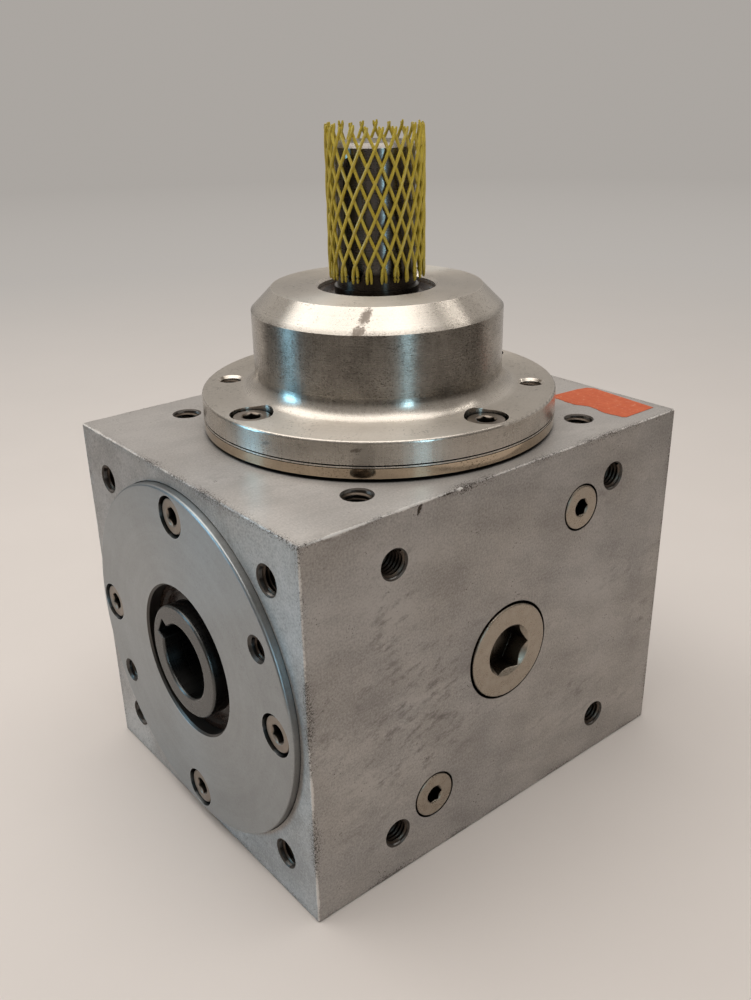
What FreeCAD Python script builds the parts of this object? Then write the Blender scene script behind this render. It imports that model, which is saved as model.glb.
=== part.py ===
import FreeCAD, Part
import math
import os

# Right-angle spiral bevel gearbox, in millimetres.
# X runs along the hollow output shaft, Z runs up the input shaft.
# The origin is the centre of the housing's bottom face.

# Housing block
housing_length = 175.0
housing_width = 140.0
housing_height = 140.0
housing_chamfer = 0.4

# Tapped mounting holes, one square of four on every face
mount_spacing = 105.0
mount_hole = 10.0
mount_depth = 12.0
mount_countersink = 0.5

# Clearances
seat_gap = 0.02
running_gap = 0.05
roller_gap = 0.1
free_gap = 0.3
cavity_gap = 1.0

# Spiral bevel pair
module = 3.0
pinion_teeth = 15
wheel_teeth = 30
face_width = 15.0
spiral_angle = 35.0
pressure_angle = 20.0
working_depth = 1.7
whole_depth = 1.888
addendum_base = 0.46
addendum_ratio = 0.39
pinion_thickening = 0.15
backlash = 0.3
cutter_margin = 0.13
tip_margin = 0.3
flank_sections = 7
flank_steps = 6

# Socket head cap screws
screw_thread = 8.0
screw_head = 13.0
screw_head_height = 8.0
screw_hex = 6.0
screw_hex_depth = 4.0
screw_edge = 0.5
socket_mouth = 1.03
screw_counterbore = 15.0
screw_sink = 0.8
screw_circle = 112.0
screw_clearance_hole = 9.0
tap_runout = 1.2

# Side covers
cover_diameter = 130.0
cover_flange = 12.0
cover_proud = 3.0
cover_edge = 0.9
cover_screw_length = 16.0
cover_jack_angle = 30.0
jack_countersink = 0.9
gasket_thickness = 0.5

# Hollow output shaft
hollow_bore = 28.0
hollow_diameter = 42.0
hollow_proud = 1.2
hollow_chamfer = 0.5
output_key_width = 8.0
output_key_depth = 3.3
output_key_angle = 150.0
wheel_seat = 50.0
collar_diameter = 56.0
collar_length = 20.0

# Output bearings, tapered rollers
output_bearing_bore = 45.0
output_bearing_outer = 75.0
output_bearing_width = 20.0
output_roller_radius = 3.6
output_shoulder = 52.0

# Shaft seals
output_seal_outer = 56.0
output_seal_width = 7.0
output_seal_inset = 5.0
seal_land = 2.5
seal_mouth = 0.8
seal_edge = 0.35
seal_wall_share = 0.3
seal_waist_share = 0.25
seal_web_share = 0.7
seal_skin_share = 0.15

# Bevel wheel body
hub_front = 14.0
wheel_rim_width = 14.0
wheel_hub_diameter = 66.0
wheel_hub_width = 10.0
wheel_key_width = 14.0
wheel_key_height = 9.0
wheel_key_in_shaft = 5.5
wheel_key_length = 26.0

# Input shaft
input_diameter = 28.0
input_exposed = 48.0
input_chamfer = 1.5
input_key_width = 8.0
input_key_depth = 4.0
input_key_length = 40.0
input_key_inset = 4.0
input_key_angle = 198.0
pinion_shoulder = 40.0

# Pinion bearings, a face to face pair of tapered rollers
pinion_bearing_bore = 35.0
pinion_bearing_outer = 55.0
pinion_bearing_width = 14.0
pinion_roller_radius = 2.6

# Neck bearing, cylindrical rollers
neck_bearing_bore = 30.0
neck_bearing_width = 13.0
neck_roller_radius = 3.0

# Lock nut and washer of the pinion bearings
lock_nut_diameter = 48.0
lock_nut_width = 9.0
lock_nut_slot = 5.0
lock_nut_slot_depth = 2.0
lock_nut_slots = 4
lock_washer_width = 1.5
sleeve_wall = 2.0
nut_room = 4.5

# Input neck
neck_diameter = 90.6
neck_rise = 120.0
neck_chamfer = 7.5
neck_fillet = 7.0
neck_flange = 12.6
neck_shim = 1.4
neck_shim_diameter = 122.0
neck_screw_length = 20.0
neck_jack_angle = 135.0
neck_wall = 4.0
scribe_depth = 0.6
scribe_upper = 0.55
scribe_land = 0.45
scribe_lower = 0.3
scribe_height = 3.3
spigot_clear_of_wheel = 1.4

# Input shaft seal
input_seal_outer = 42.0
input_seal_width = 7.0
input_seal_inset = 2.0

# Retaining ring below the pinion bearings
ring_width = 2.0
ring_height = 4.0
ring_groove = 1.2
ring_gap = 12.0

# Rolling elements
output_roller_count = 16
pinion_roller_count = 18
neck_roller_count = 14
roller_tilt = 13.0
roller_length_share = 0.62
cage_thickness = 1.0
cage_overhang = 1.2
pocket_gap = 0.2
race_edge = 0.4

# Large filler plug and the two small plugs on the front face
filler_thread = 30.0
filler_head = 36.0
filler_head_height = 5.0
filler_hex = 17.0
filler_hex_depth = 8.0
filler_shank = 15.0
filler_counterbore = 38.0
filler_proud = 0.6
plug_thread = 12.0
plug_head = 16.6
plug_head_height = 3.5
plug_hex = 6.0
plug_hex_depth = 4.5
plug_shank = 11.0
plug_counterbore = 18.0
plug_proud = 0.2
plug_ring_thickness = 1.5
plug_edge = 0.5
level_x = 35.4
level_rise = 45.0
oil_passage = 8.0

# Protective net sleeve around the input shaft
net_inner = 31.4
net_wall = 1.6
net_length = 51.0
net_lift = 2.5
net_lean_angle = 33.0
net_gap = 0.8

# Derived places along the shafts
axis_height = housing_height / 2
half_length = housing_length / 2
half_width = housing_width / 2
cover_face = half_length + cover_proud
cover_seat = cover_face - cover_flange
recess_floor = cover_seat - gasket_thickness
cover_head_seat = cover_face - screw_sink - screw_head_height
shaft_end = cover_face + hollow_proud
output_seal_face = cover_face - output_seal_inset
output_cup_back = output_seal_face - output_seal_width - seal_land
output_cup_front = output_cup_back - output_bearing_width
neck_base = housing_height + neck_shim
flange_top = neck_base + neck_flange
neck_head_seat = flange_top - screw_sink - screw_head_height
neck_top = axis_height + neck_rise
input_end = neck_top + input_exposed
input_seal_face = neck_top - input_seal_inset
neck_wall_top = input_seal_face - input_seal_width
neck_bearing_top = neck_wall_top - neck_wall
neck_bearing_bottom = neck_bearing_top - neck_bearing_width
nut_top = neck_bearing_bottom - nut_room
nut_bottom = nut_top - lock_nut_width
pinion_cones_top = nut_bottom - lock_washer_width
pinion_pair_middle = pinion_cones_top - pinion_bearing_width
pinion_cones_bottom = pinion_pair_middle - pinion_bearing_width

# Derived gear geometry
pinion_cone = math.atan2(pinion_teeth, wheel_teeth)
wheel_cone = math.pi / 2 - pinion_cone
heel_distance = module * wheel_teeth / 2 / math.sin(wheel_cone)
toe_distance = heel_distance - face_width
mean_distance = heel_distance - face_width / 2
spiral_slope = math.tan(math.radians(spiral_angle))
transverse_angle = math.atan(math.tan(math.radians(pressure_angle)) / math.cos(math.radians(spiral_angle)))
wheel_addendum = module * (addendum_base + addendum_ratio * (pinion_teeth / wheel_teeth) ** 2)
pinion_addendum = module * working_depth - wheel_addendum
wheel_dedendum = module * whole_depth - wheel_addendum
pinion_dedendum = module * whole_depth - pinion_addendum
wheel_outer = module * wheel_teeth / 2 + wheel_addendum * math.cos(wheel_cone)
cross_bore = 2 * (wheel_outer + cavity_gap + seat_gap)
spigot_bottom = axis_height + wheel_outer + spigot_clear_of_wheel
rim_back = module * pinion_teeth / 2 + wheel_rim_width
hub_back = rim_back + wheel_hub_width

V = FreeCAD.Vector
ORIGIN = V(0, 0, 0)
ALONG_X = V(1, 0, 0)
ALONG_Y = V(0, 1, 0)
UP = V(0, 0, 1)
OUTPUT_CENTRE = V(0, 0, axis_height)
nodes = {}


def rounded_wire(corners):
    """Closed wire through (x, z, radius) corners, each rounded by its optional radius."""
    starts = []
    middles = []
    ends = []
    count = len(corners)
    for i, corner in enumerate(corners):
        here = V(corner[0], 0, corner[1])
        before = V(corners[i - 1][0], 0, corners[i - 1][1])
        after = V(corners[(i + 1) % count][0], 0, corners[(i + 1) % count][1])
        if len(corner) == 2:
            starts.append(here)
            middles.append(None)
            ends.append(here)
            continue
        to_before = (before - here).normalize()
        to_after = (after - here).normalize()
        half = to_before.getAngle(to_after) / 2
        reach = corner[2] / math.tan(half)
        bisector = (to_before + to_after).normalize()
        starts.append(here + to_before * reach)
        middles.append(here + bisector * (corner[2] / math.sin(half) - corner[2]))
        ends.append(here + to_after * reach)
    edges = []
    for i in range(count):
        if middles[i] is not None:
            edges.append(Part.Arc(starts[i], middles[i], ends[i]).toShape())
        edges.append(Part.LineSegment(ends[i], starts[(i + 1) % count]).toShape())
    return Part.Wire(edges)


def turned_up(profile):
    """Solid of revolution about Z from (radius, height) corners."""
    return Part.Face(rounded_wire(profile)).revolve(ORIGIN, UP, 360)


def turned_along(profile):
    """Solid of revolution about the output axis from (x, radius) corners."""
    return Part.Face(rounded_wire(profile)).revolve(ORIGIN, ALONG_X, 360).translated(OUTPUT_CENTRE)


def tube_up(inner, outer, bottom, top):
    """Plain ring about Z between two diameters."""
    return turned_up([(inner / 2, bottom), (outer / 2, bottom), (outer / 2, top), (inner / 2, top)])


def tube_along(inner, outer, start, end):
    """Plain ring about the output axis between two diameters."""
    return turned_along([(start, inner / 2), (end, inner / 2), (end, outer / 2), (start, outer / 2)])


def mirrored_side(shape):
    """The left-hand copy of a right-hand piece, half a turn about Z."""
    return shape.rotated(ORIGIN, UP, 180)


def aimed(shape, base, direction):
    """Copy of a shape made along +Z, set at a base point and pointed along a direction."""
    copy = shape.copy()
    copy.Placement = FreeCAD.Placement(base, FreeCAD.Rotation(UP, direction)).multiply(copy.Placement)
    return copy


def around(shape, centre, axis, count):
    """Evenly turned copies of a shape about an axis."""
    return [shape.rotated(centre, axis, 360 * i / count) for i in range(count)]


def drill(diameter, depth, countersink=0.0):
    """Blind hole cutter that enters along -Z from the plane z = 0."""
    profile = [(0, -depth), (diameter / 2, -depth), (diameter / 2, -countersink)]
    if countersink:
        profile.append((diameter / 2 + countersink, 0))
    profile += [(diameter / 2 + countersink, free_gap), (0, free_gap)]
    return turned_up(profile)


def hex_socket(across_flats, depth):
    """Hexagonal cutter with a conical mouth that enters along -Z from the plane z = 0."""
    reach = across_flats / math.sqrt(3)
    corners = around(Part.Vertex(reach, 0, -depth), ORIGIN, UP, 6)
    points = [corner.Point for corner in corners]
    prism = Part.Face(Part.makePolygon(points + points[:1])).extrude(UP * (depth + free_gap))
    mouth = reach * socket_mouth
    narrow = across_flats / 2
    sink = mouth - narrow
    cone = Part.makeCone(narrow, mouth + free_gap, sink + free_gap, UP * -sink)
    return prism.fuse(cone)


def cap_screw(length):
    """Socket head cap screw along Z with the underside of its head at z = 0."""
    radius = screw_thread / 2 - running_gap
    body = turned_up([
        (0, -length), (radius - screw_edge, -length), (radius, screw_edge - length), (radius, 0),
        (screw_head / 2, 0), (screw_head / 2, screw_head_height, screw_edge), (0, screw_head_height)])
    return body.cut(hex_socket(screw_hex, screw_hex_depth).translated(UP * screw_head_height))


def screw_places(centre, first, second):
    """The four screw centres on the screw circle, along two perpendicular directions."""
    reach = screw_circle / 2
    return [centre + aim * reach for aim in (first, first * -1, second, second * -1)]


def sealing_plug(thread, head, head_height, hexagon, hex_depth, shank):
    """Socket plug along Z with the underside of its head at z = 0."""
    radius = thread / 2 - running_gap
    body = turned_up([
        (0, -shank), (radius - plug_edge, -shank), (radius, plug_edge - shank), (radius, 0),
        (head / 2, 0), (head / 2, head_height, plug_edge), (0, head_height)])
    return body.cut(hex_socket(hexagon, hex_depth).translated(UP * head_height))


def round_ended_key(width, length, height):
    """Key lying along Z, centred, standing from x = 0 to x = height."""
    straight = (length - width) / 2
    middle = Part.makeBox(height, width, 2 * straight, V(0, -width / 2, -straight))
    for end in (-straight, straight):
        middle = middle.fuse(Part.makeCylinder(width / 2, height, V(0, 0, end), ALONG_X))
    return middle.removeSplitter()


def seal_ring(shaft, outer, width):
    """Radial shaft seal about Z: its visible face is at z = width, its lips run on the shaft."""
    case = outer / 2 - seat_gap
    lip = shaft / 2 + running_gap
    rim = case - (case - lip) * seal_wall_share
    waist = lip + (case - lip) * seal_waist_share
    web = width * seal_web_share
    skin = width * seal_skin_share
    return turned_up([
        (case, 0), (case, width, seal_edge), (rim, width), (rim - skin, web + skin),
        (waist + skin, web + skin), (lip, width - skin / 2), (lip, web + skin / 2), (waist, web - skin),
        (lip, web / 2), (waist, skin), (rim - skin, web - skin), (rim, web - skin), (rim, 0)])


def tapered_bearing(bore, outer, width, roller_radius, count):
    """Cup, cone, rollers and cage of a tapered bearing about Z; the race opens out towards z = width."""
    tilt = math.radians(roller_tilt)
    middle = (bore + outer) / 4
    apex = width / 2 - middle / math.tan(tilt)
    spread = math.atan(roller_radius * math.sin(tilt) / middle)

    def race(height, angle, gap):
        return (height - apex) * math.tan(angle) + gap / math.cos(angle)

    cup_angle = tilt + spread
    cone_angle = tilt - spread
    cup_face = width - race_edge
    cup = turned_up([
        (race(0, cup_angle, roller_gap), 0), (outer / 2 - seat_gap, 0, race_edge),
        (outer / 2 - seat_gap, cup_face), (race(cup_face, cup_angle, roller_gap), cup_face)])
    half_roller = width * roller_length_share / 2
    rib = width / 2 + half_roller * math.cos(tilt) + roller_gap + roller_radius * math.sin(tilt)
    rib_radius = race(rib, tilt, 0)
    cone = turned_up([
        (bore / 2 + seat_gap, race_edge), (race(race_edge, cone_angle, -roller_gap), race_edge),
        (race(rib, cone_angle, -roller_gap), rib), (rib_radius, rib), (rib_radius, width),
        (bore / 2 + seat_gap, width, race_edge)])
    axis_distance = middle / math.sin(tilt)
    near = axis_distance - half_roller
    far = axis_distance + half_roller
    roller = Part.makeCone(near * math.tan(spread), far * math.tan(spread), 2 * half_roller)
    pocket = Part.makeCone(near * math.tan(spread) + pocket_gap, far * math.tan(spread) + pocket_gap,
                           2 * half_roller + 2 * pocket_gap, V(0, 0, -pocket_gap))
    lean = V(math.sin(tilt), 0, math.cos(tilt))
    seat = V(0, 0, apex) + lean * near
    rollers = around(aimed(roller, seat, lean), ORIGIN, UP, count)
    low = width / 2 - half_roller * math.cos(tilt) - cage_overhang
    high = rib - roller_gap
    offset = cage_thickness / 2
    band = turned_up([
        (race(low, tilt, -offset), low), (race(low, tilt, offset), low),
        (race(high, tilt, offset), high), (race(high, tilt, -offset), high)])
    cage = band.cut(around(aimed(pocket, seat, lean), ORIGIN, UP, count))
    return {"cup": cup, "cone": cone, "rollers": Part.makeCompound(rollers), "cage": cage}


def roller_bearing(bore, outer, width, roller_radius, count):
    """Rings, rollers and cage of a cylindrical roller bearing about Z, from z = 0 to z = width."""
    middle = (bore + outer) / 4
    inner_race = middle - roller_radius - roller_gap
    outer_race = middle + roller_radius + roller_gap
    half_roller = width * roller_length_share / 2
    half = width / 2
    lip = outer_race - roller_radius / 2
    low = half - half_roller - roller_gap
    high = half + half_roller + roller_gap
    inner_ring = tube_up(bore + 2 * seat_gap, 2 * inner_race, 0, width)
    outer_ring = turned_up([
        (lip, 0), (outer / 2 - seat_gap, 0, race_edge), (outer / 2 - seat_gap, width, race_edge),
        (lip, width), (lip, high), (outer_race, high), (outer_race, low), (lip, low)])
    place = V(middle, 0, half - half_roller)
    roller = Part.makeCylinder(roller_radius, 2 * half_roller, place)
    pocket = Part.makeCylinder(roller_radius + pocket_gap, 2 * half_roller + 2 * pocket_gap,
                               place - UP * pocket_gap)
    band = tube_up(2 * middle - cage_thickness, 2 * middle + cage_thickness,
                   half - half_roller - cage_overhang, half + half_roller + cage_overhang)
    cage = band.cut(around(pocket, ORIGIN, UP, count))
    rollers = Part.makeCompound(around(roller, ORIGIN, UP, count))
    return {"outer_ring": outer_ring, "inner_ring": inner_ring, "rollers": rollers, "cage": cage}


def involute_turn(polar, base_cone):
    """Azimuth that a spherical involute gains between its base cone and a polar angle."""
    if polar <= base_cone:
        return 0.0
    rolled = math.acos(math.cos(polar) / math.cos(base_cone)) / math.sin(base_cone)
    return rolled - math.acos(math.tan(base_cone) / math.tan(polar))


def flank_surface(side, cone, low, high, half_tooth, teeth, twist):
    """One flank of a tooth space as a smooth surface over cone distance and polar angle."""
    base_cone = math.asin(math.sin(cone) * math.cos(transverse_angle))
    margin = module * cutter_margin
    rows = []
    for i in range(flank_sections):
        distance = toe_distance - margin + (face_width + 2 * margin) * i / (flank_sections - 1)
        middle = twist * math.log(distance / mean_distance)
        row = []
        for j in range(flank_steps):
            polar = low + (high - low) * j / (flank_steps - 1)
            tooth = half_tooth + involute_turn(cone, base_cone) - involute_turn(polar, base_cone)
            azimuth = middle + side * (math.pi / teeth - tooth)
            radius = distance * math.sin(polar)
            height = distance * math.cos(polar)
            row.append(V(radius * math.cos(azimuth), radius * math.sin(azimuth), height))
        rows.append(row)
    surface = Part.BSplineSurface()
    surface.interpolate(rows)
    return surface


def tooth_space(cone, addendum, dedendum, thickness, teeth, twist):
    """Solid cutter for one tooth space of a bevel gear, apex at the origin and axis along Z."""
    low = cone - math.atan(dedendum / heel_distance)
    high = cone + math.atan((addendum + module * tip_margin) / heel_distance)
    half_tooth = thickness / (module * teeth)
    flanks = [flank_surface(side, cone, low, high, half_tooth, teeth, twist) for side in (-1, 1)]
    faces = [flank.toShape() for flank in flanks]
    for end in (0, 1):
        faces.append(Part.makeRuledSurface(flanks[0].uIso(end).toShape(), flanks[1].uIso(end).toShape()))
        faces.append(Part.makeRuledSurface(flanks[0].vIso(end).toShape(), flanks[1].vIso(end).toShape()))
    shell = Part.makeShell(faces)
    shell.sewShape()
    cutter = Part.makeSolid(shell)
    if cutter.Volume < 0:
        cutter.reverse()
    return cutter


def cone_point(cone, distance, outward):
    """Radius and height of a point square off the pitch cone, at a cone distance."""
    radius = distance * math.sin(cone) + outward * math.cos(cone)
    height = distance * math.cos(cone) - outward * math.sin(cone)
    return radius, height


def make_housing():
    """Cross-bored block with cover recesses, tapped holes and plug seats."""
    block = Part.makeBox(housing_length, housing_width, housing_height, V(-half_length, -half_width, 0))
    block = block.makeChamfer(housing_chamfer, block.Edges)
    cutters = [tube_along(0, cross_bore, -half_length, half_length),
               tube_up(0, cross_bore, axis_height, housing_height + free_gap)]
    recess = tube_along(0, cover_diameter + 2 * free_gap, recess_floor, half_length + free_gap)
    cutters += [recess, mirrored_side(recess)]
    cover_hole = drill(screw_thread, recess_floor - cover_head_seat + cover_screw_length + tap_runout)
    for place in screw_places(OUTPUT_CENTRE + ALONG_X * recess_floor, ALONG_Y, UP):
        hole = aimed(cover_hole, place, ALONG_X)
        cutters += [hole, mirrored_side(hole)]
    neck_hole = drill(screw_thread, housing_height - neck_head_seat + neck_screw_length + tap_runout)
    for place in screw_places(UP * housing_height, ALONG_X, ALONG_Y):
        cutters.append(neck_hole.translated(place))
    mount = drill(mount_hole, mount_depth, mount_countersink)
    reach = mount_spacing / 2
    square = [(i * reach, j * reach) for i in (-1, 1) for j in (-1, 1)]
    faces = [(ALONG_X, UP, half_length), (ALONG_Y, UP, half_width), (UP, ALONG_X, axis_height)]
    for axis, first, depth in faces:
        second = axis.cross(first)
        for normal in (axis, axis * -1):
            for along, across in square:
                place = OUTPUT_CENTRE + normal * depth + first * along + second * across
                cutters.append(aimed(mount, place, normal))
    front = ALONG_Y * -1
    filler_place = OUTPUT_CENTRE + front * half_width
    filler_sink = filler_head_height + plug_ring_thickness - filler_proud
    cutters.append(aimed(drill(filler_thread, half_width), filler_place, front))
    cutters.append(aimed(drill(filler_counterbore, filler_sink), filler_place, front))
    plug_sink = plug_head_height + plug_ring_thickness - plug_proud
    for place in plug_places():
        cutters.append(aimed(drill(plug_thread, plug_sink + plug_shank), place, front))
        cutters.append(aimed(drill(plug_counterbore, plug_sink), place, front))
        cutters.append(aimed(drill(oil_passage, half_width), place, front))
    return block.cut(cutters)


def plug_places():
    """Centres of the level plug and the drain plug on the front face."""
    level = OUTPUT_CENTRE - ALONG_Y * half_width + ALONG_X * level_x + UP * level_rise
    drain = OUTPUT_CENTRE - ALONG_Y * half_width - ALONG_X * level_x - UP * level_rise
    return [level, drain]


def make_plugs():
    """The large filler plug, the level and drain plugs, and their sealing rings."""
    front = ALONG_Y * -1
    plug = sealing_plug(filler_thread, filler_head, filler_head_height,
                        filler_hex, filler_hex_depth, filler_shank)
    underside = OUTPUT_CENTRE + front * (half_width + filler_proud - filler_head_height)
    nodes["filler_plug"] = aimed(plug, underside, front)
    ring = tube_up(filler_thread, filler_head, -plug_ring_thickness, 0)
    nodes["filler_plug_ring"] = aimed(ring, underside, front)
    small = sealing_plug(plug_thread, plug_head, plug_head_height, plug_hex, plug_hex_depth, plug_shank)
    small_ring = tube_up(plug_thread, plug_head, -plug_ring_thickness, 0)
    for name, place in zip(("level_plug", "drain_plug"), plug_places()):
        underside = place + front * (plug_proud - plug_head_height)
        nodes[name] = aimed(small, underside, front)
        nodes[name + "_ring"] = aimed(small_ring, underside, front)


def make_covers():
    """Both side covers with their gaskets, screws and shaft seals."""
    spigot = cross_bore / 2 - seat_gap
    cup = output_bearing_outer / 2
    seal = output_seal_outer / 2
    land = (hollow_diameter + output_seal_outer) / 4
    seal_floor = output_seal_face - output_seal_width
    cover = turned_along([
        (output_cup_front, cup), (output_cup_back, cup), (output_cup_back, land), (seal_floor, land),
        (seal_floor, seal), (cover_face - seal_mouth, seal), (cover_face, seal + seal_mouth),
        (cover_face, cover_diameter / 2, cover_edge), (cover_seat, cover_diameter / 2),
        (cover_seat, spigot), (output_cup_front, spigot, race_edge)])
    face_centre = OUTPUT_CENTRE + ALONG_X * cover_face
    cutters = []
    for place in screw_places(face_centre, ALONG_Y, UP):
        cutters.append(aimed(drill(screw_counterbore, cover_face - cover_head_seat), place, ALONG_X))
        cutters.append(aimed(drill(screw_clearance_hole, cover_flange + free_gap), place, ALONG_X))
    jack = drill(screw_thread, cover_flange + free_gap, jack_countersink)
    for turn in (cover_jack_angle, cover_jack_angle + 180):
        aim = V(0, math.cos(math.radians(turn)), math.sin(math.radians(turn)))
        cutters.append(aimed(jack, face_centre + aim * (screw_circle / 2), ALONG_X))
    cover = cover.cut(cutters)
    gasket = tube_along(cross_bore, cover_diameter, recess_floor, cover_seat)
    screw = cap_screw(cover_screw_length)
    screws = []
    for place in screw_places(OUTPUT_CENTRE + ALONG_X * cover_head_seat, ALONG_Y, UP):
        screws.append(aimed(screw, place, ALONG_X))
        gasket = gasket.cut(aimed(drill(screw_clearance_hole, cover_flange), place, ALONG_X))
    seal_body = seal_ring(hollow_diameter, output_seal_outer, output_seal_width)
    pieces = {
        "cover": cover, "cover_gasket": gasket, "cover_screws": Part.makeCompound(screws),
        "output_seal": aimed(seal_body, OUTPUT_CENTRE + ALONG_X * seal_floor, ALONG_X)}
    for name, shape in pieces.items():
        nodes["right_" + name] = shape
        nodes["left_" + name] = mirrored_side(shape)


def make_output_bearings():
    """Tapered bearings of the hollow shaft, cups backed by the covers."""
    bearing = tapered_bearing(output_bearing_bore, output_bearing_outer, output_bearing_width,
                              output_roller_radius, output_roller_count)
    for name, shape in bearing.items():
        right = aimed(shape, OUTPUT_CENTRE + ALONG_X * output_cup_back, ALONG_X * -1)
        nodes["right_bearing_" + name] = right
        nodes["left_bearing_" + name] = mirrored_side(right)


def make_output_shaft():
    """Hollow shaft with its collar, keyed bevel wheel and spacer."""
    seat = output_bearing_bore / 2
    end = hollow_diameter / 2
    bore = hollow_bore / 2
    collar_start = hub_front - collar_length
    wall_end = shaft_end - hollow_chamfer
    shaft = turned_along([
        (-shaft_end, bore + hollow_chamfer), (-shaft_end, end - hollow_chamfer), (-wall_end, end),
        (-output_cup_back, end), (-output_cup_back, seat), (-output_cup_front, seat),
        (-output_cup_front, output_shoulder / 2), (collar_start, output_shoulder / 2),
        (collar_start, collar_diameter / 2), (hub_front, collar_diameter / 2), (hub_front, wheel_seat / 2),
        (hub_back, wheel_seat / 2), (hub_back, seat), (output_cup_back, seat), (output_cup_back, end),
        (wall_end, end), (shaft_end, end - hollow_chamfer), (shaft_end, bore + hollow_chamfer),
        (wall_end, bore), (-wall_end, bore)])
    keyway = Part.makeBox(2 * shaft_end, bore + output_key_depth, output_key_width,
                          V(-shaft_end, 0, -output_key_width / 2))
    keyway = keyway.rotated(ORIGIN, ALONG_X, 180 - output_key_angle).translated(OUTPUT_CENTRE)
    key_middle = (hub_front + hub_back) / 2
    key_floor = wheel_seat / 2 - wheel_key_in_shaft
    key = round_ended_key(wheel_key_width, wheel_key_length, wheel_key_height)
    key = key.translated(ALONG_X * key_floor).rotated(ORIGIN, ALONG_Y, 90).translated(ALONG_X * key_middle)
    key = key.translated(OUTPUT_CENTRE)
    nodes["hollow_shaft"] = shaft.cut([keyway, key])
    nodes["wheel_key"] = key
    nodes["bevel_wheel"] = make_wheel()
    spacer_bore = output_bearing_bore + 2 * seat_gap
    nodes["wheel_spacer"] = tube_along(spacer_bore, output_shoulder, hub_back, output_cup_front)


def make_wheel():
    """Spiral bevel wheel with its hub and keyway, cut tooth space by tooth space."""
    bore = wheel_seat / 2 + seat_gap
    toe_tip = cone_point(wheel_cone, toe_distance, wheel_addendum * toe_distance / heel_distance)
    toe_root = cone_point(wheel_cone, toe_distance, -wheel_dedendum * toe_distance / heel_distance)
    heel_tip = cone_point(wheel_cone, heel_distance, wheel_addendum)
    heel_root = cone_point(wheel_cone, heel_distance, -wheel_dedendum - module)
    hub = wheel_hub_diameter / 2
    blank = turned_up([
        (bore, hub_front), (toe_root[0] - cavity_gap, hub_front), toe_root, toe_tip, heel_tip, heel_root,
        (heel_root[0], rim_back, race_edge), (hub, rim_back), (hub, hub_back), (bore, hub_back)])
    pitch = math.pi * module
    thickness = pitch / 2 - pinion_thickening * module - backlash / 2
    twist = -spiral_slope / math.sin(wheel_cone)
    space = tooth_space(wheel_cone, wheel_addendum, wheel_dedendum, thickness, wheel_teeth, twist)
    space = space.rotated(ORIGIN, UP, 180 / wheel_teeth)
    gear = blank.cut(around(space, ORIGIN, UP, wheel_teeth))
    slot = Part.makeBox(wheel_seat / 2 - wheel_key_in_shaft + wheel_key_height + free_gap, wheel_key_width,
                        hub_back - hub_front, V(0, -wheel_key_width / 2, hub_front))
    gear = gear.cut(slot.rotated(ORIGIN, UP, 180))
    turn = FreeCAD.Rotation(UP, V(0, -1, 0), ALONG_X, "ZXY")
    gear.Placement = FreeCAD.Placement(OUTPUT_CENTRE, turn).multiply(gear.Placement)
    return gear


def make_input_shaft():
    """One-piece pinion shaft: spiral pinion, bearing seats, seal seat and keyed end."""
    toe_tip = cone_point(pinion_cone, toe_distance, pinion_addendum * toe_distance / heel_distance)
    toe_root = cone_point(pinion_cone, toe_distance, -pinion_dedendum * toe_distance / heel_distance)
    heel_tip = cone_point(pinion_cone, heel_distance, pinion_addendum)
    foot_drop = (heel_distance * math.sin(pinion_cone) - pinion_shoulder / 2) / math.cos(pinion_cone)
    heel_foot = cone_point(pinion_cone, heel_distance, -foot_drop)
    teeth = [(radius, height + axis_height) for radius, height in (toe_root, toe_tip, heel_tip, heel_foot)]
    blank = turned_up([
        (0, teeth[0][1])] + teeth + [
        (pinion_shoulder / 2, pinion_cones_bottom), (pinion_bearing_bore / 2, pinion_cones_bottom),
        (pinion_bearing_bore / 2, neck_bearing_bottom), (neck_bearing_bore / 2, neck_bearing_bottom),
        (neck_bearing_bore / 2, neck_top), (input_diameter / 2, neck_top),
        (input_diameter / 2, input_end - input_chamfer), (input_diameter / 2 - input_chamfer, input_end),
        (0, input_end)]).rotated(ORIGIN, UP, input_key_angle)
    pitch = math.pi * module
    thickness = pitch / 2 + pinion_thickening * module - backlash / 2
    twist = spiral_slope / math.sin(pinion_cone)
    space = tooth_space(pinion_cone, pinion_addendum, pinion_dedendum, thickness, pinion_teeth, twist)
    shaft = blank.cut(around(space.translated(OUTPUT_CENTRE), OUTPUT_CENTRE, UP, pinion_teeth))
    key = round_ended_key(input_key_width, input_key_length, input_diameter)
    middle = input_end - input_key_inset - input_key_length / 2
    key = key.translated(V(input_diameter / 2 - input_key_depth, 0, middle))
    nodes["input_shaft"] = shaft.cut(key.rotated(ORIGIN, UP, input_key_angle))


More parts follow.
